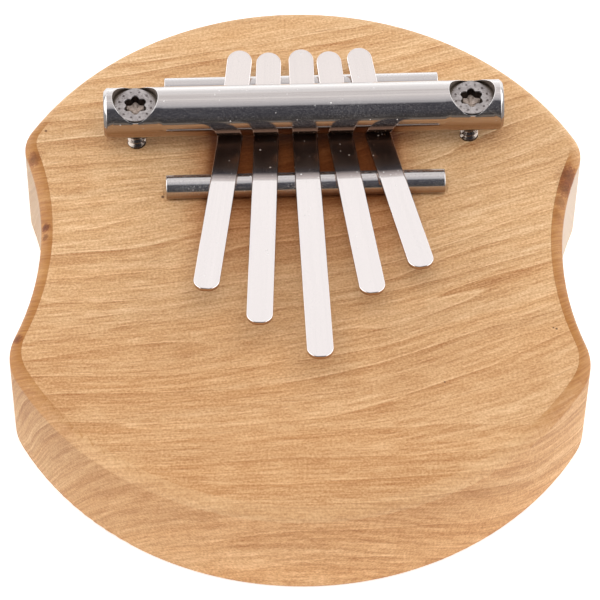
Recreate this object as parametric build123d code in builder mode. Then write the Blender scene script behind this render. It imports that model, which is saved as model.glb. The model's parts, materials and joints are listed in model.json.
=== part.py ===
from build123d import *
from math import atan, cos, radians, sin, sqrt, tan
import os

# Five-tongue hand mbira: a waisted hardwood block with spring-steel tongues clamped across two rods.
#
# Frame: millimetres, +Z up, origin at the middle of the block's underside. The player sits towards
# -Y, so the free ends of the tongues point to -Y. The steel mechanism is turned a little on the block.

# ---- wooden block
LOBE_RADIUS = 52.0          # both round ends lie on one circle about the origin
WAIST_RADIUS = 54.1         # the two scooped sides
WAIST_CENTRE_X = 96.8
WAIST_CENTRE_Y = 0.9
NEAR_CORNER_RADIUS = 9.9    # where a scooped side meets the player's lobe
FAR_CORNER_RADIUS = 6.5
BLOCK_HEIGHT = 20.7
TOP_ROUND = 2.0
BOTTOM_ROUND = 0.8

# ---- mechanism: its centre is the middle of the pressure bar, over the block's top face
MECHANISM_Y = 23.5
MECHANISM_YAW = 2.7         # degrees, right-hand end turned away from the player

# ---- two support rods
ROD_DIAMETER = 4.0
ROD_LENGTH = 46.0
ROD_SINK = 0.15             # depth of a rod's seat in the wood
ROD_BEVEL = 0.25
SEAT_OVERRUN = 0.5          # a seat runs past its rod at each end
SEAT_CLEARANCE = 0.02
BRIDGE_DISTANCE = 11.25     # bar axis to bridge rod axis, towards the player
REAR_DISTANCE = 9.65        # bar axis to rear rod axis, away from the player

# ---- pressure bar
BAR_DIAMETER = 8.35
BAR_LENGTH = 66.0
BAR_BEVEL = 0.6
BAR_UNDERSIDE = 3.44        # height of the bar's lowest line over the wood

# ---- 3 x 25 countersunk wood screws
SCREW_OFFSET = 27.75        # from the middle of the bar
SCREW_LENGTH = 25.0
HEAD_RADIUS = 3.5
HEAD_RIM = 0.25
HEAD_CONE = 90              # degrees, across the countersunk head
HEAD_OVER_AXIS = 2.0        # height of the head's flat top over the bar's axis
THREAD_CREST = 1.5
THREAD_ROOT = 1.05
THREAD_PITCH = 1.1
POINT_LENGTH = 3.0
SOCKET_RADIUS = 1.5         # six-lobe socket, size 20
SOCKET_LOBE_RADIUS = 0.42
SOCKET_REACH = 1.975
SOCKET_DEPTH = 1.6
LOBES = 6
FIRST_LOBE = 90             # degrees from the bar: one lobe points away from the player
PILOT_RADIUS = 1.55
PILOT_SPARE = 0.6           # the pilot hole runs deeper than the screw's point
BAR_HOLE_RADIUS = 1.8
HEAD_CLEARANCE = 0.25       # round the head, in the bar's recess
CONE_CLEARANCE = 0.04       # under the head's cone

# ---- spring-steel tongues, from left to right
TONGUE_WIDTH = 4.2
TONGUE_THICKNESS = 0.8
TONGUE_PLACES = (-11.93, -6.07, 0.18, 5.88, 12.0)     # along the bar
TONGUE_ANGLES = (7.5, 3.2, -0.5, -5.3, -9.5)         # degrees from square to the bar
TAIL_REACHES = (14.75, 14.2, 14.65, 14.2, 14.8)     # bar axis to tail end, level
TIP_REACHES = (38.9, 46.55, 54.35, 40.55, 35.15)    # bar axis to tip, level
TIP_FLAT = 0.08             # the rounded tip is cut square by this much
CONTACT_GAP = 0.05          # tongue to bar and tongue to rod
SPLIT_GAP = 0.2             # between a tongue's clamped shank and its free blade
RUN_OUT = 1.0               # side view drawn past the plan outline that trims it
FIT_ROUNDS = 2              # passes that settle the lift against the slope it causes

BAR_RADIUS = BAR_DIAMETER / 2
ROD_RADIUS = ROD_DIAMETER / 2
BAR_AXIS = BAR_UNDERSIDE + BAR_RADIUS
ROD_AXIS = ROD_RADIUS - ROD_SINK

mechanism = Plane(
    origin=(0, MECHANISM_Y, BLOCK_HEIGHT),
    x_dir=(cos(radians(MECHANISM_YAW)), sin(radians(MECHANISM_YAW)), 0),
    z_dir=(0, 0, 1),
)


def on_block(along, towards_player, height):
    """A point given along the bar, towards the player from its axis, and over the wood."""
    return mechanism.from_local_coords((along, -towards_player, height))


def across_bar(along, towards_player, height):
    """A plane square to the bar, for the section of anything that lies along it."""
    return Plane(origin=on_block(along, towards_player, height), x_dir=(0, 0, 1), z_dir=mechanism.x_dir)


def finish(piece, name):
    piece.label = name
    export_step(piece, f"parts/{name}.step")


os.makedirs("parts", exist_ok=True)

# ==== the block ====
with BuildPart() as block:
    with BuildSketch() as outline:
        Circle(LOBE_RADIUS)
        with Locations((WAIST_CENTRE_X, WAIST_CENTRE_Y), (-WAIST_CENTRE_X, WAIST_CENTRE_Y)):
            Circle(WAIST_RADIUS, mode=Mode.SUBTRACT)
        fillet(outline.vertices().group_by(Axis.Y)[0], NEAR_CORNER_RADIUS)
        fillet(outline.vertices().group_by(Axis.Y)[-1], FAR_CORNER_RADIUS)
    extrude(amount=BLOCK_HEIGHT)
    fillet(block.faces().sort_by(Axis.Z)[-1].edges(), TOP_ROUND)
    fillet(block.faces().sort_by(Axis.Z)[0].edges(), BOTTOM_ROUND)
    # shallow round-bottomed seats for the two rods
    for distance in (BRIDGE_DISTANCE, -REAR_DISTANCE):
        with BuildSketch(across_bar(-ROD_LENGTH / 2 - SEAT_OVERRUN, distance, ROD_AXIS)):
            Circle(ROD_RADIUS + SEAT_CLEARANCE)
        extrude(amount=ROD_LENGTH + 2 * SEAT_OVERRUN, mode=Mode.SUBTRACT)
    # pilot holes for the screws
    pilot_depth = SCREW_LENGTH - BAR_AXIS - HEAD_OVER_AXIS + PILOT_SPARE
    for side in (-1, 1):
        with BuildSketch(Plane(on_block(side * SCREW_OFFSET, 0, 0))):
            Circle(PILOT_RADIUS)
        extrude(amount=-pilot_depth, mode=Mode.SUBTRACT)
finish(block.part, "wooden_body")


# ==== the two rods ====
def rod(distance, name):
    with BuildPart() as piece:
        with BuildSketch(across_bar(-ROD_LENGTH / 2, distance, ROD_AXIS)):
            Circle(ROD_RADIUS)
        extrude(amount=ROD_LENGTH)
        chamfer(piece.edges().filter_by(GeomType.CIRCLE), ROD_BEVEL)
    finish(piece.part, name)


rod(BRIDGE_DISTANCE, "bridge_rod")
rod(-REAR_DISTANCE, "rear_rod")

# ==== the pressure bar, bored and countersunk for its screws ====
head_top = BAR_AXIS + HEAD_OVER_AXIS
seat_radius = HEAD_RADIUS + CONE_CLEARANCE
with BuildPart() as bar:
    with BuildSketch(across_bar(-BAR_LENGTH / 2, 0, BAR_AXIS)):
        Circle(BAR_RADIUS)
    extrude(amount=BAR_LENGTH)
    chamfer(bar.edges().filter_by(GeomType.CIRCLE), BAR_BEVEL)
    for side in (-1, 1):
        foot = on_block(side * SCREW_OFFSET, 0, 0)
        with BuildSketch(Plane(foot)):
            Circle(BAR_HOLE_RADIUS)
        extrude(amount=head_top, mode=Mode.SUBTRACT)
        # counterbore round the head's rim, then its 90 degree seat
        seat_top = head_top - HEAD_RIM - CONE_CLEARANCE
        with BuildSketch(Plane(foot).offset(seat_top)):
            Circle(HEAD_RADIUS + HEAD_CLEARANCE)
        extrude(amount=BAR_RADIUS, mode=Mode.SUBTRACT)
        with BuildSketch(Plane(foot).offset(seat_top)):
            Circle(seat_radius)
        extrude(amount=-(seat_radius - BAR_HOLE_RADIUS), taper=HEAD_CONE / 2, mode=Mode.SUBTRACT)
finish(bar.part, "pressure_bar")


# ==== the screws ====
def screw(along, name):
    foot = on_block(along, 0, 0)
    tip = head_top - SCREW_LENGTH
    neck = head_top - HEAD_RIM - (HEAD_RADIUS - THREAD_ROOT)
    turns = int((neck - tip - POINT_LENGTH) / THREAD_PITCH)
    with BuildPart() as piece:
        with BuildSketch(Plane(origin=foot, x_dir=(1, 0, 0), z_dir=(0, -1, 0))):
            with BuildLine():
                Polyline((0, head_top), (HEAD_RADIUS, head_top), (HEAD_RADIUS, head_top - HEAD_RIM),
                         (THREAD_ROOT, neck), (THREAD_ROOT, tip + POINT_LENGTH), (0, tip), (0, head_top))
            make_face()
            # one ridge for each turn of the thread
            for turn in range(turns):
                middle = tip + POINT_LENGTH + (turn + 0.5) * THREAD_PITCH
                half = THREAD_CREST - THREAD_ROOT
                with BuildLine():
                    Polyline((THREAD_ROOT, middle - half), (THREAD_CREST, middle),
                             (THREAD_ROOT, middle + half), (0, middle), close=True)
                make_face()
        revolve(axis=Axis(foot, (0, 0, 1)))
        # six-lobe socket
        flat_top = Plane(origin=on_block(along, 0, head_top), x_dir=mechanism.x_dir, z_dir=(0, 0, 1))
        with BuildSketch(flat_top):
            Circle(SOCKET_RADIUS)
            with PolarLocations(SOCKET_REACH - SOCKET_LOBE_RADIUS, LOBES, start_angle=FIRST_LOBE):
                Circle(SOCKET_LOBE_RADIUS)
        extrude(amount=-SOCKET_DEPTH, mode=Mode.SUBTRACT)
    finish(piece.part, name)


screw(-SCREW_OFFSET, "screw_left")
screw(SCREW_OFFSET, "screw_right")


# ==== the tongues ====
# Bent down under the bar between the two rods, a tongue follows the elastic curve of a simply
# supported beam: a cubic each side of the bar, and a straight line past each rod.
def tongue(number, place, angle, tail_reach, tip_reach):
    lean = radians(angle)
    bridge = BRIDGE_DISTANCE / cos(lean)
    rear = REAR_DISTANCE / cos(lean)
    span = bridge + rear
    # the strip rises along a slanted rod, so half its width lifts it a little
    low = BAR_UNDERSIDE - CONTACT_GAP - TONGUE_THICKNESS
    lift = ROD_AXIS + ROD_RADIUS + CONTACT_GAP - low
    for _ in range(FIT_ROUNDS):
        rise_front = lift * (span + rear) / (2 * bridge * rear)
        rise_rear = lift * (span + bridge) / (2 * bridge * rear)
        slope_now = max(rise_front, rise_rear)
        skew = slope_now * abs(tan(lean)) * TONGUE_WIDTH / 2
        crown = ROD_RADIUS * (sqrt(1 + slope_now ** 2) - 1)
        lift = ROD_AXIS + ROD_RADIUS + CONTACT_GAP + crown + skew - low
    slope_at_bar = lift * (bridge - rear) / (bridge * rear)
    split = bridge - ROD_RADIUS * sin(atan(rise_front))

    forward = (-sin(lean - radians(MECHANISM_YAW)), -cos(lean - radians(MECHANISM_YAW)), 0)
    crossing = on_block(place, 0, 0)
    side_view = Plane(origin=crossing, x_dir=forward, z_dir=Vector(*forward).cross(Vector(0, 0, 1)))
    plan_view = Plane(origin=crossing, x_dir=forward, z_dir=(0, 0, 1))

    tail_end = tail_reach + RUN_OUT
    tip_end = tip_reach + RUN_OUT

    def strip(start, end, name):
        """The strip's side view, cut to its plan outline between two distances from the bar."""
        with BuildPart() as piece:
            with BuildSketch(side_view):
                with BuildLine():
                    for base in (low, low + TONGUE_THICKNESS):
                        rest = base + lift
                        Line((-tail_end, rest + rise_rear * (tail_end - rear)), (-rear, rest))
                        Bezier((-rear, rest), (-rear * 2 / 3, rest - rise_rear * rear / 3),
                               (-rear / 3, base + slope_at_bar * rear / 3), (0, base))
                        Bezier((0, base), (bridge / 3, base - slope_at_bar * bridge / 3),
                               (bridge * 2 / 3, rest - rise_front * bridge / 3), (bridge, rest))
                        Line((bridge, rest), (tip_end, rest + rise_front * (tip_end - bridge)))
                    end_lines = ((-tail_end, rise_rear, rear), (tip_end, rise_front, bridge))
                    for end_x, rise, support in end_lines:
                        end_z = low + lift + rise * (abs(end_x) - support)
                        Line((end_x, end_z), (end_x, end_z + TONGUE_THICKNESS))
                make_face()
            extrude(amount=TONGUE_WIDTH, both=True)
            with BuildSketch(plan_view):
                with Locations(((tip_reach + TIP_FLAT - tail_reach) / 2, 0)):
                    SlotOverall(tip_reach + TIP_FLAT + tail_reach, TONGUE_WIDTH)
                with Locations(((start + end) / 2, 0)):
                    Rectangle(end - start, 2 * TONGUE_WIDTH, mode=Mode.INTERSECT)
            extrude(amount=BLOCK_HEIGHT, mode=Mode.INTERSECT)
        finish(piece.part, name)

    strip(-tail_reach, split - SPLIT_GAP / 2, f"tongue_{number}_shank")
    strip(split + SPLIT_GAP / 2, tip_reach, f"tongue_{number}_blade")


for index, layout in enumerate(zip(TONGUE_PLACES, TONGUE_ANGLES, TAIL_REACHES, TIP_REACHES)):
    tongue(index + 1, *layout)
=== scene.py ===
"""Looks of the five-tongue mbira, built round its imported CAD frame. Metres, in the CAD's own frame.

The steel pieces are rebuilt here as finely rounded meshes in millimetres, in the frame of the steel
mechanism: x along the pressure bar, y away from the player, z up from the block's top face.
"""

import json
from math import acos, asin, atan, atan2, cos, hypot, pi, radians, sin, sqrt

import bmesh
import bpy
from mathutils import Matrix, Vector


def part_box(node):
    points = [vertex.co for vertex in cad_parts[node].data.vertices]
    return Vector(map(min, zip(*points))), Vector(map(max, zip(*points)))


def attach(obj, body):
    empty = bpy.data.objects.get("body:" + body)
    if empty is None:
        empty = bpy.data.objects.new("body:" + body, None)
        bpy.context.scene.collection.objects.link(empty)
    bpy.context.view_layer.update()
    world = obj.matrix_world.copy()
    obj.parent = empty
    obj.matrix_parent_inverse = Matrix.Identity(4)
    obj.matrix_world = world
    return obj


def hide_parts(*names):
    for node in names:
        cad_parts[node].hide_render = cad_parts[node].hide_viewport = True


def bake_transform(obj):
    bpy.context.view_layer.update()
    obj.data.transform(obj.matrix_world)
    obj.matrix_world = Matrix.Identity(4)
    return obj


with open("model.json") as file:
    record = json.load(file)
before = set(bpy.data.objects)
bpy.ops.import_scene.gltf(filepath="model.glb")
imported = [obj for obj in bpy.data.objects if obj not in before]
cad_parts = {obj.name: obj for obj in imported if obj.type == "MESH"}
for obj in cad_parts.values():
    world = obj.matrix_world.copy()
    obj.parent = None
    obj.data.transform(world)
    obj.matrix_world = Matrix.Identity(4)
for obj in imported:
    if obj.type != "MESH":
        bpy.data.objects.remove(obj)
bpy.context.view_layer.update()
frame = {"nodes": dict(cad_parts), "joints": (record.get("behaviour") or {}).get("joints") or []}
MM = 0.001

# ---- the mechanism's frame, from the screws' joints and the block's top face
joints = {joint["name"]: joint for joint in frame["joints"]}
_, block_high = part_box("wooden_body")
left_screw = Vector(joints["screw_left_turn"]["pos_m"])
right_screw = Vector(joints["screw_right_turn"]["pos_m"])
YAW = atan2(right_screw.y - left_screw.y, right_screw.x - left_screw.x)
centre = (left_screw + right_screw) / 2
MECHANISM = Matrix.Translation((centre.x, centre.y, block_high.z)) @ Matrix.Rotation(YAW, 4, "Z")
SCREW_OFFSET = (right_screw - left_screw).length / 2 / MM


def height_over_wood(z):
    return (z - block_high.z) / MM


def cylinder_size(node):
    """Radius, axis height and length in millimetres of a round bar that lies along the mechanism."""
    low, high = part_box(node)
    radius = (high.z - low.z) / 2
    length = (high.x - low.x - 2 * radius * sin(YAW)) / cos(YAW)
    return radius / MM, height_over_wood((low.z + high.z) / 2), length / MM


def distance_from_bar(node):
    """How far a rod's axis lies from the bar's, towards the player, in millimetres."""
    low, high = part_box(node)
    return -(MECHANISM.inverted() @ ((low + high) / 2)).y / MM


BAR_RADIUS, BAR_AXIS, BAR_LENGTH = cylinder_size("pressure_bar")
ROD_RADIUS, ROD_AXIS, ROD_LENGTH = cylinder_size("bridge_rod")
BRIDGE_DISTANCE = distance_from_bar("bridge_rod")
REAR_DISTANCE = -distance_from_bar("rear_rod")
HEAD_TOP = height_over_wood(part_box("screw_left")[1].z)
SCREW_TIP = height_over_wood(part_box("screw_left")[0].z)

# ---- details smaller than the frame shows, in millimetres
BAR_EDGE = 0.6              # bevel at the bar's ends: how far in along the bar, and how far down
BEVEL_PROFILE = ((0.6, 0.0), (0.54, 0.015), (0.5, 0.05), (0.09, 0.46), (0.03, 0.54), (0.0, 0.62), (0.0, 1.2))
ROD_EDGE = 0.22
RECESS_RADIUS = 3.75
SEAT_RADIUS = 3.54
RECESS_SEAT = 0.29          # the recess's cone starts this far under the head's flat top
BAR_HOLE_RADIUS = 1.8
RIM_EDGE = 0.16             # rounding round the recess and round the hole
PATCH_REACH = 4.6           # the bar's skin is laid out round a hole this far each way
HEAD_RADIUS = 3.5
HEAD_RIM = 0.25
HEAD_EDGE = 0.09
THREAD_CREST = 1.5
THREAD_ROOT = 1.05
THREAD_PITCH = 1.1
POINT_LENGTH = 3.0
SOCKET_MEAN = 1.72          # six-lobe socket: mean radius and half the lobes' height
SOCKET_WAVE = 0.25
SOCKET_DEPTH = 1.6
SOCKET_MOUTH = ((0.0, 0.25), (0.04, 0.12), (0.1, 0.04), (0.16, 0.0), (0.2, 0.0))    # widening, depth
LOBES = 6
DENTS = 12                  # a ring of small dents on the head's flat top
DENT_CIRCLE = 2.75
DENT_RADIUS = 0.27
TONGUE_WIDTH = 4.2
TONGUE_THICKNESS = 0.8
TIP_FLAT = 0.08
CONTACT_GAP = 0.05
TOP_EDGE = 0.16             # rounding of a tongue's upper and lower edges
LOW_EDGE = 0.07
SAME_POINT = 2e-4           # points this near each other are one

LOCAL_PLACE = "local"       # the mesh attribute that holds each point's place for the materials


def new_object(name, data):
    """An object that holds the data, in the scene."""
    piece = bpy.data.objects.new(name, data)
    bpy.context.scene.collection.objects.link(piece)
    return piece


# ==== meshes made of rings of points ====
class Shell:
    """Rings of points in millimetres, skinned with faces into one closed mesh."""

    def __init__(self):
        self.points = []
        self.faces = []

    def ring(self, points):
        """Keeps the points and returns their numbers."""
        start = len(self.points)
        self.points += [tuple(p) for p in points]
        return list(range(start, len(self.points)))

    def bridge(self, a, b, closed=True):
        """Faces between two rings or rows with as many points each."""
        count = len(a)
        for i in range(count if closed else count - 1):
            j = (i + 1) % count
            self.faces.append((a[i], a[j], b[j], b[i]))

    def loft(self, rings):
        """Rings of points, each joined to the next. Returns the first and last ring."""
        made = [self.ring(points) for points in rings]
        for a, b in zip(made, made[1:]):
            self.bridge(a, b)
        return made[0], made[-1]

    def cap(self, ring, centre_point):
        """Closes a ring with triangles round a point."""
        middle = self.ring([centre_point])[0]
        for i, a in enumerate(ring):
            self.faces.append((a, ring[(i + 1) % len(ring)], middle))

    def build(self, name, material, matrix=MECHANISM, local=None, sharp=35):
        """The mesh object. Its material reads each point's place, or the one in local, in millimetres."""
        mesh = bpy.data.meshes.new(name)
        mesh.from_pydata([Vector(p) * MM for p in self.points], [], self.faces)
        attribute = mesh.attributes.new(LOCAL_PLACE, "FLOAT_VECTOR", "POINT")
        attribute.data.foreach_set("vector", [c for p in (local or self.points) for c in p])
        work = bmesh.new()
        work.from_mesh(mesh)
        bmesh.ops.remove_doubles(work, verts=work.verts, dist=SAME_POINT * MM)
        bmesh.ops.dissolve_degenerate(work, edges=work.edges, dist=SAME_POINT / 2 * MM)
        bmesh.ops.recalc_face_normals(work, faces=work.faces)
        work.to_mesh(mesh)
        work.free()
        mesh.materials.append(material)
        mesh.shade_smooth()
        mesh.set_sharp_from_angle(angle=radians(sharp))
        piece = new_object(name, mesh)
        piece.matrix_world = matrix
        return piece


def turn(count, first=0.0):
    """Angles that go once round."""
    return [first + 2 * pi * i / count for i in range(count)]


def rounding(radius, steps=5):
    """Steps round a quarter circle: how far in from one face, and how far in from the other."""
    return [(radius * (1 - sin(a)), radius * (1 - cos(a)))
            for a in (pi / 2 * i / steps for i in range(steps + 1))]


# ==== looks: a small layer over shader nodes ====
class Nodes:
    """Adds shader nodes to a tree. A value may be a number, a colour, a vector or another socket."""

    def __init__(self, tree):
        self.tree = tree

    def add(self, kind, settings=None, **values):
        """A node. Its inputs are given by name, or as _0, _1 and so on by number."""
        node = self.tree.nodes.new(kind)
        for key, value in (settings or {}).items():
            setattr(node, key, value)
        for key, value in values.items():
            socket = node.inputs[int(key[1:]) if key[0] == "_" else key.replace("_", " ")]
            self.set(socket, value)
        return node

    def set(self, socket, value):
        if isinstance(value, bpy.types.NodeSocket):
            self.tree.links.new(value, socket)
        else:
            socket.default_value = value

    def math(self, operation, a, b=0.0, c=0.0):
        return self.add("ShaderNodeMath", {"operation": operation}, _0=a, _1=b, _2=c).outputs[0]

    def product(self, first, *others):
        for other in others:
            first = self.math("MULTIPLY", first, other)
        return first

    def centred(self, noise):
        return self.math("SUBTRACT", noise, 0.5)

    def hypotenuse(self, a, b):
        return self.math("SQRT", self.math("MULTIPLY_ADD", a, a, self.product(b, b)))

    def vector(self, operation, a, b=(0, 0, 0)):
        return self.add("ShaderNodeVectorMath", {"operation": operation}, _0=a, _1=b).outputs[0]

    def distance(self, a, b):
        return self.add("ShaderNodeVectorMath", {"operation": "DISTANCE"}, _0=a, _1=b).outputs["Value"]

    def split(self, vector):
        return self.add("ShaderNodeSeparateXYZ", _0=vector).outputs

    def join(self, x, y, z):
        return self.add("ShaderNodeCombineXYZ", _0=x, _1=y, _2=z).outputs[0]

    def grey(self, value):
        return self.join(value, value, value)

    def noise(self, vector, detail=2.0, roughness=0.5, distortion=0.0):
        return self.add("ShaderNodeTexNoise", Vector=vector, Scale=1.0, Detail=detail,
                        Roughness=roughness, Distortion=distortion).outputs[0]

    def stretch(self, vector, x, y, z):
        return self.vector("MULTIPLY", vector, (x, y, z))

    def range(self, value, low, high, new_low=0.0, new_high=1.0, smooth=False):
        kind = {"interpolation_type": "SMOOTHSTEP" if smooth else "LINEAR"}
        return self.add("ShaderNodeMapRange", kind, Value=value, From_Min=low, From_Max=high,
                        To_Min=new_low, To_Max=new_high).outputs[0]

    def mix(self, factor, a, b, blend="MIX"):
        node = self.add("ShaderNodeMix", {"data_type": "RGBA", "blend_type": blend})
        self.set(node.inputs[0], factor)
        self.set(node.inputs[6], a)
        self.set(node.inputs[7], b)
        return node.outputs[2]

    def tint(self, factor, base, paint):
        """A colour, multiplied by a paint as far as factor says."""
        return self.mix(factor, base, self.mix(1.0, base, paint, "MULTIPLY"))

    def ramp(self, value, stops):
        """A colour for a value, from stops of a position and a colour in rising order."""
        node = self.add("ShaderNodeValToRGB", _0=value)
        elements = node.color_ramp.elements
        for index, (position, stop_colour) in enumerate(stops):
            element = elements[index] if index < 2 else elements.new(position)
            element.position = position
            element.color = stop_colour
        return node.outputs[0]

    def bump(self, height, distance, strength=1.0):
        return self.add("ShaderNodeBump", Height=height, Distance=distance, Strength=strength).outputs[0]


def colour(red, green, blue):
    return (red, green, blue, 1.0)


def new_material(name):
    material = bpy.data.materials.new(name)
    material.use_nodes = True
    material.node_tree.nodes.clear()
    nodes = Nodes(material.node_tree)
    shader = nodes.add("ShaderNodeBsdfPrincipled")
    output = nodes.add("ShaderNodeOutputMaterial")
    nodes.set(output.inputs["Surface"], shader.outputs[0])
    return material, nodes, shader


# ---- wood
TOP = block_high.z / MM     # the block's top face
SWAY = (0, 7, 6)            # how far the growth lines wander from side to side, millimetres
CLIMB = 0.27                # their slope in the middle of the block, and how it steepens to the right
CLIMB_PER_MM = 0.00165
LAYERS_LEAN = 0.55          # how far they shift for each millimetre of depth
YEARS_PER_MM = 0.215        # one growth line every four to five millimetres
YEAR_WANDER = 3.4           # in years, where the broad noise goes from nought to one
YEAR_DEPTH = 0.34           # how far a growth line's dark and pale sides move the tone
PLAIN_TONE = 0.61
GRAIN = {                   # waves per millimetre along and across the grain, detail, roughness
    "broad": (0.012, 0.10, 2.0, 0.5),
    "streaks": (0.045, 1.2, 3.0, 0.65),
    "fibre": (0.20, 2.3, 2.0, 0.7),
    "flecks": (0.18, 2.8, 2.0, 0.5),
}
TONE_SHARES = {"broad": 0.30, "streaks": 0.78, "fibre": 0.95, "mottle": 0.12, "grit": 0.95}
TONES = (
    (0.0, colour(0.40, 0.165, 0.056)),
    (0.5, colour(0.670, 0.396, 0.193)),
    (1.0, colour(0.93, 0.665, 0.40)),
)
WARM_TINT = colour(1.02, 0.95, 0.86)
NEAR_TINT = colour(0.84, 0.75, 0.665)
PORE = colour(0.40, 0.17, 0.06)
BURNT_DARK = colour(0.36, 0.135, 0.034)
BURNT_PALE = colour(0.49, 0.225, 0.062)
PALE_EDGE = colour(0.86, 0.60, 0.34)
# painted highlight on the block's far rim
FAR_RIM_HIGHLIGHT = colour(0.92, 0.79, 0.65)
# painted light on the side wall, strongest near the table
WALL_LIGHT_LOW = colour(1.18, 1.19, 1.18)
WALL_LIGHT_HIGH = colour(1.03, 1.00, 0.96)
# painted sheen on the waist's far walls
WAIST_SHEEN_LEFT = colour(0.50, 0.375, 0.275)
WAIST_SHEEN_RIGHT = colour(0.65, 0.535, 0.44)
# painted shade on the wood near and under the steel
NEAR_STEEL_SHADE = colour(0.75, 0.58, 0.47)
UNDER_STEEL_SHADE = colour(0.36, 0.215, 0.13)
SPOT_RIM = colour(0.27, 0.082, 0.026)
SPOT_HEART = colour(0.11, 0.024, 0.007)
PINHOLE = colour(0.10, 0.035, 0.018)
WOOD_RELIEF = 0.00007       # depth of the wood's pores, metres
SHELTERED = 17.0            # half length along the bar of the wood that the tongues cover
FAN_OF_TONGUES = -0.06      # how that length changes towards the player
SCORCH_SPOTS = (            # on the routed edge: centre, radius, strength
    ((43.9, 16.4, 20.2), 2.9, 0.80),
    ((43.5, 13.9, 20.2), 2.2, 0.70),
    ((42.5, 10.9, 20.2), 1.5, 0.45),
    ((41.8, 8.0, 20.2), 1.2, 0.35),
    ((-41.9, 4.2, 20.2), 1.1, 0.90),
    ((-41.9, 2.2, 20.2), 0.9, 0.60),
    ((-44.7, 18.5, 20.2), 1.8, 0.65),
    ((-45.2, -18.6, 20.1), 1.3, 0.80),
)
PINHOLES = (                # in the top face: centre, radius
    ((-43.0, 24.3, 20.7), 0.28),
    ((5.7, 13.4, 20.7), 0.2),
    ((23.0, -26.1, 20.7), 0.22),
    ((-23.0, 10.6, 20.7), 0.35),
    ((40.6, -15.1, 20.7), 0.2),
    ((41.1, -15.3, 20.7), 0.24),
)


def figure(n, place):
    """The wood's colour before it was worked, and its noises by name."""
    _, far, _ = n.split(place)
    drift = n.add("ShaderNodeTexNoise", Vector=n.stretch(place, 0.014, 0.03, 0.03), Scale=1.0,
                  Detail=2.0, Roughness=0.5).outputs["Color"]
    sway = n.vector("MULTIPLY", n.vector("SUBTRACT", drift, (0.5, 0.5, 0.5)), SWAY)
    calm = n.range(far, -45.0, -10.0, 0.35, 1.0)
    sway = n.vector("MULTIPLY", sway, n.join(0.0, calm, calm))
    x, y, z = n.split(n.vector("ADD", place, sway))
    # growth lines: level near the player, climbing more steeply away from the player and to the right
    climb = n.product(n.range(y, -52, -14, 0.06, 1.0, smooth=True),
                      n.math("MULTIPLY_ADD", x, CLIMB_PER_MM, CLIMB))
    line = n.math("SUBTRACT", y, n.product(x, climb))
    line = n.math("MULTIPLY_ADD", n.math("SUBTRACT", z, TOP), LAYERS_LEAN, line)

    def along(waves_along, waves_across, detail=2.0, roughness=0.5, distortion=0.0):
        spot = n.join(n.product(x, waves_along), n.product(line, waves_across), 0.0)
        return n.noise(spot, detail, roughness, distortion)

    noises = {name: along(*numbers) for name, numbers in GRAIN.items()}
    noises["mottle"] = n.noise(n.stretch(place, 0.09, 0.16, 0.16), detail=3.0, roughness=0.6)
    noises["grit"] = n.noise(n.stretch(place, 2.5, 2.9, 2.9), detail=1.0, roughness=0.6)

    # a year's growth: darkest just under a thin pale line, then slowly paler towards the player
    years = n.math("MULTIPLY_ADD", noises["broad"], YEAR_WANDER, n.product(line, YEARS_PER_MM))
    year = n.math("FRACT", years)
    late = n.product(n.math("POWER", n.range(year, 0.15, 0.92), 2.2), n.range(year, 0.96, 0.93))
    pale = n.product(n.range(year, 0.92, 0.955), n.range(year, 1.0, 0.965))
    strength = n.range(n.noise(n.stretch(place, 0.03, 0.05, 0.05), detail=1.0), 0.35, 0.65, 0.25, 1.0)
    strength = n.product(strength, n.range(y, -38.0, -8.0, 0.50, 1.0))
    tone = n.math("MULTIPLY_ADD", n.product(late, strength), -YEAR_DEPTH, PLAIN_TONE)
    tone = n.math("MULTIPLY_ADD", n.product(pale, strength), YEAR_DEPTH, tone)
    for name, share in TONE_SHARES.items():
        tone = n.math("MULTIPLY_ADD", n.centred(noises[name]), share, tone)
    base = n.ramp(tone, TONES)
    # redder stretches of the same wood, then darker and more orange towards the player, then short pores
    warm = n.range(along(0.02, 0.25, distortion=0.4), 0.35, 0.65)
    base = n.tint(n.product(warm, 0.5), base, WARM_TINT)
    base = n.tint(n.range(far, 5.0, -48.0), base, NEAR_TINT)
    base = n.mix(n.range(noises["flecks"], 0.60, 0.76, 0.0, 0.45), base, PORE)
    return base, noises


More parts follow.
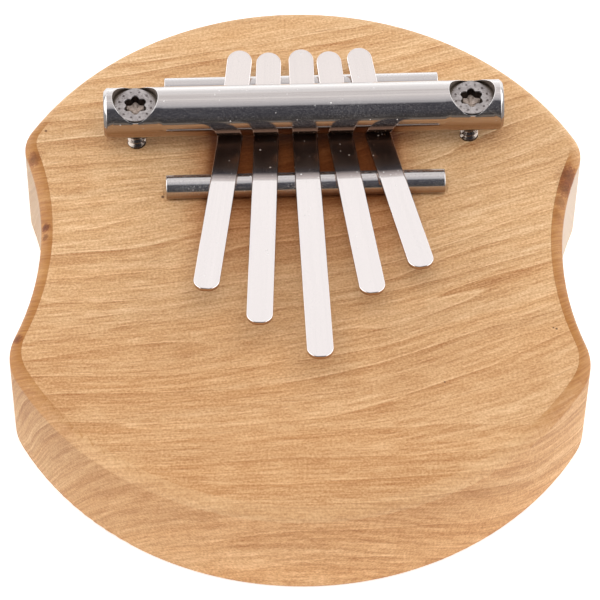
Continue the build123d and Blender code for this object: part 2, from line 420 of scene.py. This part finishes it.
def worked_edges(n, place, base, noises):
    """The routed edge, scorched where it cut across the grain, and the wall.

    Returns the wood's colour, and where the routed edge and the block's upper half are.
    """
    aside, far, height = n.split(place)
    normal_x, normal_y, normal_z = n.split(n.add("ShaderNodeNewGeometry").outputs["True Normal"])
    level = n.hypotenuse(normal_x, normal_y)
    end_grain = n.math("ABSOLUTE", n.math("DIVIDE", normal_x, n.math("MAXIMUM", level, 0.01)))
    across_grain = n.range(end_grain, 0.55, 0.95, smooth=True)
    upper = n.range(height, TOP / 2, TOP / 2 + 1)
    routed = n.product(n.range(normal_z, 0.02, 0.10), n.range(normal_z, 0.9996, 0.998), upper)
    patchy = n.range(n.noise(n.stretch(place, 0.16, 0.22, 0.22), detail=3.0), 0.35, 0.65, 0.78, 1.0)
    not_far = n.range(n.math("MULTIPLY_ADD", aside, 0.06, far), 27.0, 21.0, smooth=True)
    burnt = n.mix(n.range(noises["fibre"], 0.35, 0.65), BURNT_DARK, BURNT_PALE)
    base = n.mix(n.product(routed, across_grain, patchy, not_far), base, burnt)
    # along the grain the edge is a little paler, and at the far end it gets a painted highlight, pale where
    # it would catch the light from behind
    paler_along_grain = n.product(routed, n.math("SUBTRACT", 1.0, across_grain))
    base = n.mix(n.product(paler_along_grain, 0.16), base, PALE_EDGE)
    far_rim_highlight = n.product(n.range(normal_y, 0.15, 0.45), n.range(normal_z, 0.75, 0.45), upper,
                        n.range(normal_z, 0.02, 0.12))
    base = n.mix(n.product(far_rim_highlight, 0.7), base, FAR_RIM_HIGHLIGHT)
    # painted light: the side wall is painted paler near the table, where the table's light falls on it, and
    # a little redder under the rounded edge
    wall = n.product(n.range(normal_z, 0.10, 0.02), n.range(normal_z, -0.10, -0.02))
    painted_wall_light = n.mix(n.range(height, 2.0, TOP - 3, smooth=True), WALL_LIGHT_LOW, WALL_LIGHT_HIGH)
    base = n.tint(wall, base, painted_wall_light)
    # painted shade: it is painted darker as it turns sideways, more on the left, and a painted sheen washes
    # out the waist's far half
    painted_side_shade = n.product(n.range(n.math("ABSOLUTE", normal_x), 0.2, 0.8),
                           n.range(normal_x, -0.2, 0.2, -0.22, -0.08))
    base = n.tint(wall, base, n.grey(n.math("ADD", painted_side_shade, 1.0)))
    # painted sheen: the waist's far half is mixed towards a pale, greyer brown
    painted_waist_sheen = n.product(wall, across_grain, n.range(far, -8.0, 4.0), n.range(aside, -40.0, 40.0, 0.60, 0.85))
    base = n.mix(painted_waist_sheen, base, n.mix(n.range(aside, -40.0, 40.0), WAIST_SHEEN_LEFT, WAIST_SHEEN_RIGHT))
    return base, routed, upper


def painted_shade_by_steel(n, place, base, upper):
    """Painted shade: the wood under the steel is painted dark and red, and a little so in front of it."""
    centre_of_bar = n.vector("SUBTRACT", place, tuple(MECHANISM.translation / MM))
    turned = n.add("ShaderNodeVectorRotate", Vector=centre_of_bar, Angle=-YAW).outputs[0]
    beside, back, _ = n.split(turned)
    beside = n.math("ABSOLUTE", n.math("MULTIPLY_ADD", back, FAN_OF_TONGUES, beside))
    in_front = n.range(back, 9.0, 5.0)
    shade_near_blades = n.product(n.range(beside, SHELTERED + 4, SHELTERED - 2, smooth=True),
                            n.range(back, -34.0, -14.0, smooth=True), in_front, upper)
    shade_under_steel = n.product(n.range(beside, SHELTERED, SHELTERED - 2.5, smooth=True),
                        n.range(back, -17.0, -11.0, smooth=True), in_front, upper)
    base = n.tint(shade_near_blades, base, NEAR_STEEL_SHADE)
    return n.tint(shade_under_steel, base, UNDER_STEEL_SHADE)


def burns_and_pinholes(n, place, base, noises, routed):
    """Burns, a small knot and pinholes."""
    on_edge = n.math("MULTIPLY_ADD", routed, 0.7, 0.3)
    ragged = n.math("MULTIPLY_ADD", n.centred(noises["streaks"]), 0.5, n.centred(noises["grit"]))
    for spot, radius, strength in SCORCH_SPOTS:
        away = n.math("MULTIPLY_ADD", ragged, radius * 0.9, n.distance(place, spot))
        red_to_dark = n.mix(n.range(away, radius * 0.75, radius * 0.1), SPOT_RIM, SPOT_HEART)
        burn = n.product(n.range(away, radius, radius * 0.5, 0.0, strength, smooth=True), on_edge)
        base = n.mix(burn, base, red_to_dark)
    for spot, radius in PINHOLES:
        base = n.mix(n.range(n.distance(place, spot), radius, radius * 0.5, 0.0, 0.85), base, PINHOLE)
    return base


def wood():
    """Oiled hardwood, grain running along x and climbing towards the right, routed edges scorched."""
    material, n, shader = new_material("oiled_hardwood")
    place = n.vector("SCALE", n.add("ShaderNodeTexCoord").outputs["Object"])
    place.node.inputs["Scale"].default_value = 1 / MM
    base, noises = figure(n, place)
    base, routed, upper = worked_edges(n, place, base, noises)
    # painted shade under and near the steel
    base = painted_shade_by_steel(n, place, base, upper)
    base = burns_and_pinholes(n, place, base, noises, routed)
    n.set(shader.inputs["Base Color"], base)
    n.set(shader.inputs["Roughness"], n.range(noises["fibre"], 0.3, 0.7, 0.50, 0.62))
    shader.inputs["Specular IOR Level"].default_value = 0.30
    relief = n.math("MULTIPLY_ADD", noises["fibre"], 0.6, n.product(noises["flecks"], -0.5))
    relief = n.math("MULTIPLY_ADD", noises["grit"], 0.5, relief)
    n.set(shader.inputs["Normal"], n.bump(relief, WOOD_RELIEF, 0.7))
    return material


# ---- steel
DUST = colour(0.80, 0.78, 0.76)
# painted shade and reflection on steel that faces down or sideways
PAINTED_SHADE_BELOW = colour(0.50, 0.36, 0.27)
SHANK_TINT = colour(0.60, 0.50, 0.44)
RECESS_TINT = colour(0.42, 0.41, 0.37)
PLATE_DARK = colour(0.40, 0.375, 0.375)
PLATE_PALE = colour(0.60, 0.575, 0.575)
PIT = colour(0.16, 0.14, 0.135)
# painted shade for the socket's wall, and a painted reflection for its floor
SOCKET_WALL_SHADE = colour(0.22, 0.19, 0.17)
FLOOR_REFLECTION_DARK = colour(0.50, 0.40, 0.33)
FLOOR_REFLECTION_PALE = colour(0.85, 0.74, 0.66)
DENT_TINT = colour(0.45, 0.42, 0.42)
THREAD_TINT = colour(0.72, 0.64, 0.56)
SOCKET_REACH = 2.1          # radius that holds the whole socket
PLATE_RELIEF = 0.00006      # depth of the plating's mottle, metres


def steel(name, tint, roughness, streaks, streak_depth, dust, specks, contrast):
    """Bright steel: lines along local x, cloudy gloss, a haze of fine dust and a few bigger specks."""
    material, n, shader = new_material(name)
    place = n.add("ShaderNodeAttribute", {"attribute_name": LOCAL_PLACE}).outputs["Vector"]
    lines = n.noise(n.stretch(place, 0.02, streaks, streaks), detail=3.0, roughness=0.65)
    fine = n.noise(n.stretch(place, 0.12, streaks * 4, streaks * 4), detail=2.0, roughness=0.6)
    cloud = n.noise(n.stretch(place, 0.12, 0.5, 0.5), detail=2.0)
    grain = n.noise(n.stretch(place, 3.6, 4.6, 4.6), detail=2.0, roughness=0.7)
    tone = n.math("MULTIPLY_ADD", n.range(lines, 0.3, 0.7), contrast, 1.0 - contrast)
    tone = n.product(tone, n.range(fine, 0.25, 0.75, 1 - contrast / 2, 1.0))
    base = n.mix(1.0, tint, n.grey(tone), "MULTIPLY")
    haze = n.product(n.range(grain, 0.42, 0.72), n.range(cloud, 0.25, 0.7, 0.35 * dust, 1.6 * dust))
    cells = n.add("ShaderNodeTexVoronoi", Vector=n.stretch(place, 1.1, 1.1, 1.1), Scale=1.0)
    chance, size, _ = n.split(cells.outputs["Color"])
    speck = n.math("LESS_THAN", cells.outputs["Distance"], n.product(size, specks))
    speck = n.product(speck, n.math("GREATER_THAN", chance, 0.6))
    matt = n.math("MAXIMUM", haze, speck)
    n.set(shader.inputs["Base Color"], n.mix(matt, base, DUST))
    n.set(shader.inputs["Metallic"], n.math("SUBTRACT", 1.0, matt))
    n.set(shader.inputs["Roughness"], n.math("MULTIPLY_ADD", cloud, roughness * 0.6, roughness * 0.7))
    # painted shade and reflection: what faces down or sideways is painted darker and browner, standing in
    # for the shaded wood it mirrors
    _, _, facing = n.split(n.add("ShaderNodeNewGeometry").outputs["Normal"])
    repaint(n, shader, n.range(facing, 0.7, -0.1), PAINTED_SHADE_BELOW)
    relief = n.math("MULTIPLY_ADD", fine, 0.4, lines)
    n.set(shader.inputs["Normal"], n.bump(relief, streak_depth * MM, 1.0))
    return material, n, shader, place


def linked(shader, name):
    return shader.inputs[name].links[0].from_socket


def repaint(n, shader, factor, paint):
    """Multiplies a shader's base colour by a paint where factor is one."""
    n.set(shader.inputs["Base Color"], n.tint(factor, linked(shader, "Base Color"), paint))


def roughen(n, shader, factor, amount):
    """Adds an amount to a shader's roughness where factor is one."""
    n.set(shader.inputs["Roughness"], n.math("MULTIPLY_ADD", factor, amount, linked(shader, "Roughness")))


def round_a_screw(n, place):
    """Place seen from the nearer screw's axis: along the bar, away from the player, up, and radius."""
    x, y, z = n.split(place)
    from_screw = n.math("SUBTRACT", n.math("ABSOLUTE", x), SCREW_OFFSET)
    return from_screw, y, z, n.hypotenuse(from_screw, y)


def bar_steel():
    """The bar's steel, dull and dark where the screws' recesses are cut."""
    material, n, shader, place = steel("bright_bar_steel", colour(0.76, 0.735, 0.73), roughness=0.095,
                                       streaks=2.2, streak_depth=0.0006, dust=0.11, specks=0.16,
                                       contrast=0.16)
    _, _, _, radius = round_a_screw(n, place)
    cut = n.math("LESS_THAN", radius, RECESS_RADIUS + 0.01)
    repaint(n, shader, cut, RECESS_TINT)
    roughen(n, shader, cut, 0.25)
    return material


def rod_steel():
    """The support rods' steel, dustier than the bar's."""
    return steel("drawn_rod_steel", colour(0.76, 0.745, 0.75), roughness=0.12, streaks=3.0,
                 streak_depth=0.0009, dust=0.26, specks=0.12, contrast=0.14)[0]


def tongue_steel():
    """The tongues' steel, a little darker and browner from the bar to the bridge rod."""
    material, n, shader, place = steel("spring_steel", colour(0.88, 0.845, 0.84), roughness=0.06,
                                       streaks=1.0, streak_depth=0.00012, dust=0.03, specks=0.20,
                                       contrast=0.03)
    along, _, _ = n.split(place)
    shank_band = n.product(n.range(along, 0.0, 3.0), n.range(along, 11.0, 9.5, smooth=True))
    repaint(n, shader, shank_band, SHANK_TINT)
    roughen(n, shader, shank_band, 0.12)
    return material


def plated_steel():
    """Zinc-plated screw steel: dull, mottled, a little pitted, with painted shade down in the socket and a
    painted reflection on its floor.
    """
    material, n, shader = new_material("zinc_plated_screw")
    place = n.add("ShaderNodeAttribute", {"attribute_name": LOCAL_PLACE}).outputs["Vector"]
    cloud = n.noise(n.stretch(place, 0.9, 0.9, 0.9), detail=4.0, roughness=0.65)
    pits = n.noise(n.stretch(place, 2.4, 2.4, 2.4), detail=3.0, roughness=0.7)
    base = n.mix(n.range(cloud, 0.3, 0.7), PLATE_DARK, PLATE_PALE)
    base = n.mix(n.range(pits, 0.54, 0.68, 0.0, 0.75), base, PIT)
    n.set(shader.inputs["Base Color"], base)
    shader.inputs["Metallic"].default_value = 1.0
    # painted shade: the socket's wall is painted dark; painted reflection: its floor is painted bright and
    # brownish
    from_screw, y, z, radius = round_a_screw(n, place)
    socket_floor = HEAD_TOP - SOCKET_DEPTH
    wall = n.product(n.math("LESS_THAN", radius, SOCKET_REACH),
                     n.range(z, HEAD_TOP - 0.06, HEAD_TOP - 0.3),
                     n.range(z, socket_floor - 1.5, socket_floor - 1.0))
    painted_reflection_on_floor = n.product(wall, n.range(z, socket_floor + 0.12, socket_floor + 0.02))
    repaint(n, shader, wall, SOCKET_WALL_SHADE)
    mottled = n.mix(n.range(pits, 0.35, 0.65), FLOOR_REFLECTION_DARK, FLOOR_REFLECTION_PALE)
    n.set(shader.inputs["Base Color"], n.mix(painted_reflection_on_floor, linked(shader, "Base Color"), mottled))
    # a ring of small round dents
    bearing = n.math("FRACT", n.product(n.math("ARCTAN2", y, from_screw), DENTS / (2 * pi)))
    aside = n.product(n.centred(bearing), 2 * pi * DENT_CIRCLE / DENTS)
    away = n.hypotenuse(aside, n.math("SUBTRACT", radius, DENT_CIRCLE))
    dent = n.product(n.range(away, DENT_RADIUS, DENT_RADIUS * 0.5),
                     n.math("GREATER_THAN", z, HEAD_TOP - 0.05))
    repaint(n, shader, dent, DENT_TINT)
    # the thread below the bar is browner and smoother
    threaded = n.range(z, BAR_AXIS - 1, BAR_AXIS - 2)
    repaint(n, shader, threaded, THREAD_TINT)
    n.set(shader.inputs["Roughness"], n.range(cloud, 0.3, 0.7, 0.5, 0.36))
    roughen(n, shader, threaded, -0.18)
    relief = n.math("MULTIPLY_ADD", dent, -1.5, n.math("MULTIPLY_ADD", pits, -0.6, cloud))
    n.set(shader.inputs["Normal"], n.bump(relief, PLATE_RELIEF, 0.7))
    return material


BAR_STEEL = bar_steel()
ROD_STEEL = rod_steel()
TONGUE_STEEL = tongue_steel()
PLATED = plated_steel()

frame["nodes"]["wooden_body"].data.materials.clear()
frame["nodes"]["wooden_body"].data.materials.append(wood())


# ==== pressure bar: a round bar with two recessed holes ====
RIM_POINTS = 192
SIDE_POINTS = RIM_POINTS // 4
ROUND_POINTS = 2 * SIDE_POINTS
RIM_ROUNDING = rounding(RIM_EDGE, 4)[1:]
PATCH_STEPS = (0, 0.06, 0.16, 0.34, 0.62, 1)    # shares of the way from a hole to its patch's border
OVER_SEAT = 0.01            # the recess's rim stays this far above its seat


def square_walk():
    """Points round the square from -1 to 1, starting at its lower left corner."""
    steps = [-1 + 2 * i / SIDE_POINTS for i in range(SIDE_POINTS)]
    return ([(s, -1) for s in steps] + [(1, s) for s in steps]
            + [(-s, 1) for s in steps] + [(-1, -s) for s in steps])


def bar():
    """The bar: the skin round each screw's hole, the ends beyond it, and the length between the holes."""
    shell = Shell()
    walk = square_walk()
    bearing = [atan2(v, u) for u, v in walk]

    def skin_height(y):
        return sqrt(BAR_RADIUS ** 2 - y ** 2)

    def section(x, radius):
        return [(x, radius * sin(a), BAR_AXIS + radius * cos(a)) for a in turn(ROUND_POINTS, -pi / 2)]

    def loop(screw_x, radius, up, depth=0.0):
        """A loop round a screw's axis that follows the bar's upper or lower skin, never below the seat."""
        points = []
        for f in bearing:
            y = radius * sin(f)
            rise = skin_height(y) - depth
            if up > 0:
                rise = max(rise, seat - BAR_AXIS + OVER_SEAT)
            points.append((screw_x + radius * cos(f), y, BAR_AXIS + up * rise))
        return points

    def level_loop(screw_x, radius, height):
        return [(screw_x + radius * cos(f), radius * sin(f), height) for f in bearing]

    def patch(screw_x, radius, up):
        """The skin between a hole and the rectangle round it."""
        rings = []
        for share in PATCH_STEPS:
            points = []
            for f, (u, v) in zip(bearing, walk):
                inner = asin(radius * sin(f) / BAR_RADIUS)
                x = (1 - share) * radius * cos(f) + share * u * PATCH_REACH
                a = (1 - share) * inner + share * v * pi / 2
                points.append((screw_x + x, BAR_RADIUS * sin(a), BAR_AXIS + up * BAR_RADIUS * cos(a)))
            rings.append(points)
        return rings

    half = BAR_LENGTH / 2
    if SCREW_OFFSET + PATCH_REACH > half - BAR_EDGE:
        raise ValueError("the hole's patch runs past the bar's end")
    seat = HEAD_TOP - RECESS_SEAT
    neck = seat - (SEAT_RADIUS - BAR_HOLE_RADIUS)
    for side in (-1, 1):
        x = side * SCREW_OFFSET
        rings = list(reversed(patch(x, RECESS_RADIUS + RIM_EDGE, 1)))
        rings += [loop(x, RECESS_RADIUS + along, 1, down) for along, down in RIM_ROUNDING]
        rings += [level_loop(x, RECESS_RADIUS, seat), level_loop(x, SEAT_RADIUS, seat)]
        rings += [level_loop(x, BAR_HOLE_RADIUS, neck), level_loop(x, BAR_HOLE_RADIUS, neck - RIM_EDGE)]
        rings += [loop(x, BAR_HOLE_RADIUS + along, -1, down) for along, down in reversed(RIM_ROUNDING)]
        shell.loft(rings + patch(x, BAR_HOLE_RADIUS + RIM_EDGE, -1))
        # from the screw outwards to the bar's end
        rings = [section(side * (SCREW_OFFSET + PATCH_REACH), BAR_RADIUS)]
        for along, inward in BEVEL_PROFILE:
            rings.append(section(side * (half - along), BAR_RADIUS - inward))
        _, last = shell.loft(rings)
        shell.cap(last, (side * half, 0, BAR_AXIS))
    inner = SCREW_OFFSET - PATCH_REACH
    shell.loft([section(-inner, BAR_RADIUS), section(inner, BAR_RADIUS)])
    piece = shell.build("bar_of_the_clamp", BAR_STEEL)
    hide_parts("pressure_bar")
    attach(piece, "clamp")


# ==== support rods ====
ROD_POINTS = 72
ROD_FACE_INSET = 1.6 * ROD_EDGE     # the flat end's outermost ring, in from the rod's radius


def rod(node, distance, name):
    """A support rod that far from the bar towards the player, with rounded ends."""
    shell = Shell()
    half = ROD_LENGTH / 2

    def section(x, radius):
        return [(x, -distance + radius * sin(a), ROD_AXIS + radius * cos(a)) for a in turn(ROD_POINTS)]

    flat_radius = ROD_RADIUS - ROD_FACE_INSET
    rings = [section(-half, flat_radius)]
    rings += [section(-half + along, ROD_RADIUS - inward) for along, inward in reversed(rounding(ROD_EDGE))]
    rings += [section(half - along, ROD_RADIUS - inward) for along, inward in rounding(ROD_EDGE)]
    rings.append(section(half, flat_radius))
    first, last = shell.loft(rings)
    shell.cap(first, (-half, -distance, ROD_AXIS))
    shell.cap(last, (half, -distance, ROD_AXIS))
    piece = shell.build(name, ROD_STEEL)
    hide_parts(node)
    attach(piece, "block")


# ==== countersunk wood screws ====
# shares of one pitch, with the ridge in the middle
THREAD_STEPS = (0.0, 0.12, 0.16, 0.33, 0.47, 0.53, 0.67, 0.84, 0.88)
RIDGE_TOP = 1.09            # the ridge's height before its crest is cut flat at 1
RIDGE_FLANK = 0.34          # share of a pitch in which the ridge falls from 1 to 0
SOCKET_FOOT = ((0.35, 0.35), (0.0, 0.95))       # how far under the socket's floor, and scale
SOCKET_POINT = 0.45         # how far under the floor the point in the middle lies
LOBE_ROUNDING = 0.12        # by this share the lobes reach out less and the hollows reach in further


def screw(side, node, name):
    """A screw on the left (-1) or right (1): socket, flat head, cone and thread down to the point."""
    shell = Shell()
    axis_x = side * SCREW_OFFSET
    angles = turn(RIM_POINTS // 2)

    def circle(radius, height):
        return [(axis_x + radius * cos(a), radius * sin(a), height) for a in angles]

    def socket(grow, height, scale=1.0):
        """The six-lobe outline; one lobe points away from the player."""
        points = []
        for a in angles:
            wave = cos(LOBES * (a - pi / 2))
            radius = scale * (SOCKET_MEAN + SOCKET_WAVE * wave * (1 - LOBE_ROUNDING * wave)) + grow
            points.append((axis_x + radius * cos(a), radius * sin(a), height))
        return points

    floor = HEAD_TOP - SOCKET_DEPTH
    neck = HEAD_TOP - HEAD_RIM - (HEAD_RADIUS - THREAD_ROOT)
    rings = [socket(0, floor - down, scale) for down, scale in SOCKET_FOOT]
    rings += [socket(grow, HEAD_TOP - down) for grow, down in SOCKET_MOUTH]
    rings.append(circle(HEAD_RADIUS - 3 * HEAD_EDGE, HEAD_TOP))
    rings += [circle(HEAD_RADIUS - inward, HEAD_TOP - down)
              for down, inward in reversed(rounding(HEAD_EDGE, 4))]
    rings += [circle(HEAD_RADIUS, HEAD_TOP - HEAD_RIM),
              circle(HEAD_RADIUS - HEAD_EDGE / 2, HEAD_TOP - HEAD_RIM - HEAD_EDGE / 2),
              circle(THREAD_ROOT, neck)]
    first, _ = shell.loft(rings)
    shell.cap(first, (axis_x, 0, floor - SOCKET_POINT))

    # the thread: rows that climb one pitch in one turn, held between the neck and the point
    def thread_point(row_height, share, k):
        a = angles[k]
        height = row_height + THREAD_PITCH * k / len(angles)
        fade = min(1.0, max(0.0, (neck - height) / THREAD_PITCH))
        ridge = max(0.0, RIDGE_TOP - abs(share - 0.5) / RIDGE_FLANK)
        height = min(max(height, SCREW_TIP), neck)
        taper = min(1.0, (height - SCREW_TIP) / POINT_LENGTH)
        radius = taper * (THREAD_ROOT + (THREAD_CREST - THREAD_ROOT) * min(1.0, ridge) * fade)
        return (axis_x + radius * cos(a), radius * sin(a), height)

    per_turn = len(THREAD_STEPS)
    turns = int((neck - SCREW_TIP) / THREAD_PITCH) + 3
    rows = []
    for row in range(turns * per_turn):
        share = THREAD_STEPS[row % per_turn]
        row_height = SCREW_TIP - THREAD_PITCH + THREAD_PITCH * (row // per_turn + share)
        rows.append(shell.ring([thread_point(row_height, share, k) for k in range(len(angles))]))
    for row in range(len(rows) - 1):
        shell.bridge(rows[row], rows[row + 1], closed=False)
        if row + 1 + per_turn < len(rows):
            shell.faces.append((rows[row][-1], rows[row + per_turn][0], rows[row + 1 + per_turn][0],
                                rows[row + 1][-1]))
    piece = shell.build(name, PLATED)
    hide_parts(node)
    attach(piece, node)


# ==== tongues ====
ACROSS = (1.0, 0.93, 0.7, 0.35, 0.0, -0.35, -0.7, -0.93, -1.0)
STATION_STEP = 0.5          # longest step between the cross rows of the straight part
END_STEPS = 14              # steps round a quarter of the tail
TIP_STEPS = 12
STRIP_APART = 20.0          # each tongue shows its own part of the steel's pattern


def reach(nodes, origin, direction):
    """How far CAD nodes reach along a level direction from a point, in millimetres: least and most."""
    distances = [(vertex.co - origin).dot(direction) / MM
                 for node in nodes for vertex in frame["nodes"][node].data.vertices]
    return min(distances), max(distances)


def tongue(number):
    """One strip of spring steel: clamped shank and free blade in one piece, bending at the bridge rod."""
    shank, blade = f"tongue_{number}_shank", f"tongue_{number}_blade"
    axis = Vector(joints[f"tongue_{number}_tune"]["axis"])
    forward = Vector((axis.x, axis.y, 0)).normalized()
    across = Vector((-forward.y, forward.x, 0))
    lean = YAW + atan2(-forward.x, -forward.y)
    bridge = BRIDGE_DISTANCE / cos(lean)
    rear = REAR_DISTANCE / cos(lean)
    crossing = Vector(joints[f"tongue_{number}_flex"]["pos_m"]) - forward * bridge * MM
    crossing.z = block_high.z
    least, most = reach((shank, blade), crossing, forward)
    rise_front = axis.z / hypot(axis.x, axis.y)
    lift = rise_front * 2 * bridge * rear / (bridge + 2 * rear)
    rise_rear = lift * (2 * bridge + rear) / (2 * bridge * rear)
    slope_at_bar = lift * (bridge - rear) / (bridge * rear)
    low = BAR_AXIS - BAR_RADIUS - CONTACT_GAP - TONGUE_THICKNESS

    def bezier(t, a, b, c, d):
        s = 1 - t
        return a * s ** 3 + 3 * b * s * s * t + 3 * c * s * t * t + d * t ** 3

    def underside(x):
        rest = low + lift
        if x < -rear:
            return rest + rise_rear * (-rear - x)
        if x < 0:
            return bezier((x + rear) / rear, rest, rest - rise_rear * rear / 3,
                          low + slope_at_bar * rear / 3, low)
        if x < bridge:
            return bezier(x / bridge, low, low - slope_at_bar * bridge / 3,
                          rest - rise_front * bridge / 3, rest)
        return rest + rise_front * (x - bridge)

    # right-hand outline, tail to tip: round tail, straight side, round tip cut square
    half_width = TONGUE_WIDTH / 2
    tail_centre = least + half_width
    tip_centre = most + TIP_FLAT - half_width
    cut = acos((half_width - TIP_FLAT) / half_width)
    outline = [(tail_centre - half_width * cos(a), half_width * sin(a), a)
               for a in (pi / 2 * i / END_STEPS for i in range(END_STEPS + 1))]
    count = round((tip_centre - tail_centre) / STATION_STEP)
    outline += [(tail_centre + (tip_centre - tail_centre) * i / count, half_width, pi / 2)
                for i in range(1, count)]
    outline += [(tip_centre + half_width * cos(a), half_width * sin(a), pi - a)
                for a in (pi / 2 + (cut - pi / 2) * i / TIP_STEPS for i in range(TIP_STEPS + 1))]

    shell = Shell()
    local = []

    def ring(inset, height):
        """The whole outline moved in by inset, as its pole, right side, front and left side."""
        right = []
        for x, y, a in outline[1:]:
            right.append((x + inset * cos(a), y - inset * sin(a)))
        corner_x = min(right[-1][0], most - inset)
        right[-1] = (corner_x, right[-1][1])
        front = [(corner_x, share * right[-1][1]) for share in ACROSS[1:-1]]
        left = [(x, -y) for x, y in reversed(right)]
        return [(x, y, height) for x, y in [(least + inset, 0)] + right + front + left]

    def add(points):
        placed = []
        for x, y, height in points:
            local.append((x, y + number * STRIP_APART, height))
            spot = crossing / MM + forward * x + across * y
            placed.append((spot.x, spot.y, spot.z + underside(x) + height))
        return shell.ring(placed)

    def lid(edge):
        """Fills the outline across, row by row."""
        size = len(outline) - 1
        pole, right = edge[0], edge[1:1 + size]
        front, left = edge[1 + size:1 + size + len(ACROSS) - 2], edge[-size:][::-1]
        previous = None
        for i in range(size):
            x, y, height = local[right[i]]
            y -= number * STRIP_APART
            middle = front if i == size - 1 else add([(x, share * y, height) for share in ACROSS[1:-1]])
            row = [right[i]] + middle + [left[i]]
            if previous:
                shell.bridge(previous, row, closed=False)
            else:
                shell.faces += [(pole, a, b) for a, b in zip(row, row[1:])]
            previous = row

    rings = [ring(inset, up) for up, inset in reversed(rounding(LOW_EDGE, 3))]
    rings += [ring(inset, TONGUE_THICKNESS - down) for down, inset in rounding(TOP_EDGE, 5)]
    made = [add(points) for points in rings]
    for a, b in zip(made, made[1:]):
        shell.bridge(a, b)
    lid(made[0])
    lid(made[-1])
    piece = shell.build(f"tongue_{number}", TONGUE_STEEL, Matrix.Identity(4), local, sharp=40)
    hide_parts(shank, blade)
    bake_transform(piece)


bar()
rod("bridge_rod", BRIDGE_DISTANCE, "bridge_rod_bright")
rod("rear_rod", -REAR_DISTANCE, "rear_rod_bright")
screw(-1, "screw_left", "screw_left_threaded")
screw(1, "screw_right", "screw_right_threaded")
for index in range(1, 6):
    tongue(index)


# ==== studio ====
FOCAL_MM = 212.9
SENSOR_MM = 36.0
TARGET = Vector((-0.00015, 0.0052, 0.0))
DISTANCE = 0.5984
ELEVATION = radians(53.26)
ROLL = radians(0.775)


def camera():
    """A long lens, aimed down at the object from the player's side and rolled a little."""
    data = bpy.data.cameras.new("photo_camera")
    data.lens = FOCAL_MM
    data.sensor_width = SENSOR_MM
    data.clip_end = 50
    back = Vector((0, -cos(ELEVATION), sin(ELEVATION)))
    right = Vector((1, 0, 0))
    up = back.cross(right)
    rolled_right = right * cos(ROLL) + up * sin(ROLL)
    rolled_up = up * cos(ROLL) - right * sin(ROLL)
    basis = Matrix((rolled_right, rolled_up, back)).transposed().to_4x4()
    eye = new_object("photo_camera", data)
    eye.matrix_world = Matrix.Translation(TARGET + back * DISTANCE) @ basis
    bpy.context.scene.camera = eye


SKY = (                     # degrees from straight up (negative: behind the object) and colour
    (-180, (1.0, 1.0, 1.0)),
    (-100, (1.3, 1.29, 1.28)),
    (-90, (1.6, 1.6, 1.58)),
    (-79, (1.30, 1.28, 1.27)),
    (-66, (1.08, 1.05, 1.04)),
    (-54, (1.02, 0.985, 0.98)),
    (-42, (0.86, 0.81, 0.79)),
    (-21, (0.84, 0.79, 0.78)),
    (-17, (1.04, 0.99, 0.96)),
    (-13, (0.82, 0.77, 0.76)),
    (6, (0.69, 0.665, 0.67)),
    (18, (0.46, 0.45, 0.47)),
    (24, (0.062, 0.060, 0.074)),
    (60, (0.058, 0.056, 0.066)),
    (86, (0.06, 0.056, 0.054)),
    (92, (0.28, 0.25, 0.22)),
    (101, (0.09, 0.07, 0.06)),
    (180, (0.3, 0.25, 0.2)),
)
SKY_PEAK = 2.0              # brighter than any colour of the sky
SIDE_GLOW = 2.4
MATT_TENT = 0.50            # the share of the tent's light that matt surfaces get
TABLE_GLOW = 0.45
FLOOR_REACH = 6.0           # metres from the object's middle


def sky():
    """White tent behind and above, strong light from both sides, dark on the side of the player."""
    world = bpy.data.worlds.new("studio")
    bpy.context.scene.world = world
    world.use_nodes = True
    world.node_tree.nodes.clear()
    n = Nodes(world.node_tree)
    x, y, z = n.split(n.add("ShaderNodeTexCoord").outputs["Generated"])
    path = n.add("ShaderNodeLightPath").outputs
    matt = path["Is Diffuse Ray"]
    angle = n.math("ARCTAN2", n.product(y, -1.0), z)
    stops = [((degrees_up + 180) / 360, colour(*[channel / SKY_PEAK for channel in glow]))
             for degrees_up, glow in SKY]
    tent_level = n.math("MULTIPLY_ADD", matt, SKY_PEAK * (MATT_TENT - 1), SKY_PEAK)
    tent = n.vector("MULTIPLY", n.ramp(n.range(angle, -pi, pi), stops), n.grey(tent_level))
    side = n.range(n.math("ABSOLUTE", x), 0.60, 0.80, smooth=True)
    side_level = n.product(n.range(z, -0.05, 0.0, 0.2, 1.0), SIDE_GLOW)
    glow = n.mix(side, tent, n.grey(side_level))
    seen = n.mix(path["Is Camera Ray"], glow, colour(1, 1, 1))
    background = n.add("ShaderNodeBackground", Color=seen, Strength=1.0)
    output = n.add("ShaderNodeOutputWorld")
    n.set(output.inputs["Surface"], background.outputs[0])


def soft_light(name, place, size, power):
    """A soft light aimed at the object that doesn't mirror in the steel."""
    data = bpy.data.lights.new(name, "AREA")
    data.shape = "RECTANGLE"
    data.size, data.size_y = size
    data.energy = power
    lamp = new_object(name, data)
    lamp.location = place
    lamp.rotation_euler = (-Vector(place)).to_track_quat("-Z", "Y").to_euler()
    lamp.visible_glossy = False


def floor():
    """A wide pale table that doesn't mirror in the steel."""
    mesh = bpy.data.meshes.new("floor")
    corners = [(FLOOR_REACH * side_x, FLOOR_REACH * side_y, 0)
               for side_x, side_y in ((-1, -1), (1, -1), (1, 1), (-1, 1))]
    mesh.from_pydata(corners, [], [(0, 1, 2, 3)])
    piece = new_object("floor", mesh)
    material, _, shader = new_material("white_table")
    shader.inputs["Base Color"].default_value = colour(0.85, 0.85, 0.85)
    shader.inputs["Roughness"].default_value = 0.9
    shader.inputs["Emission Color"].default_value = colour(1, 1, 1)
    shader.inputs["Emission Strength"].default_value = TABLE_GLOW
    mesh.materials.append(material)
    piece.visible_glossy = False


camera()
sky()
soft_light("front_overhead", place=(0.0, -0.45, 1.15), size=(0.9, 0.6), power=7.3)
floor()
bpy.context.scene.view_settings.view_transform = "Standard"
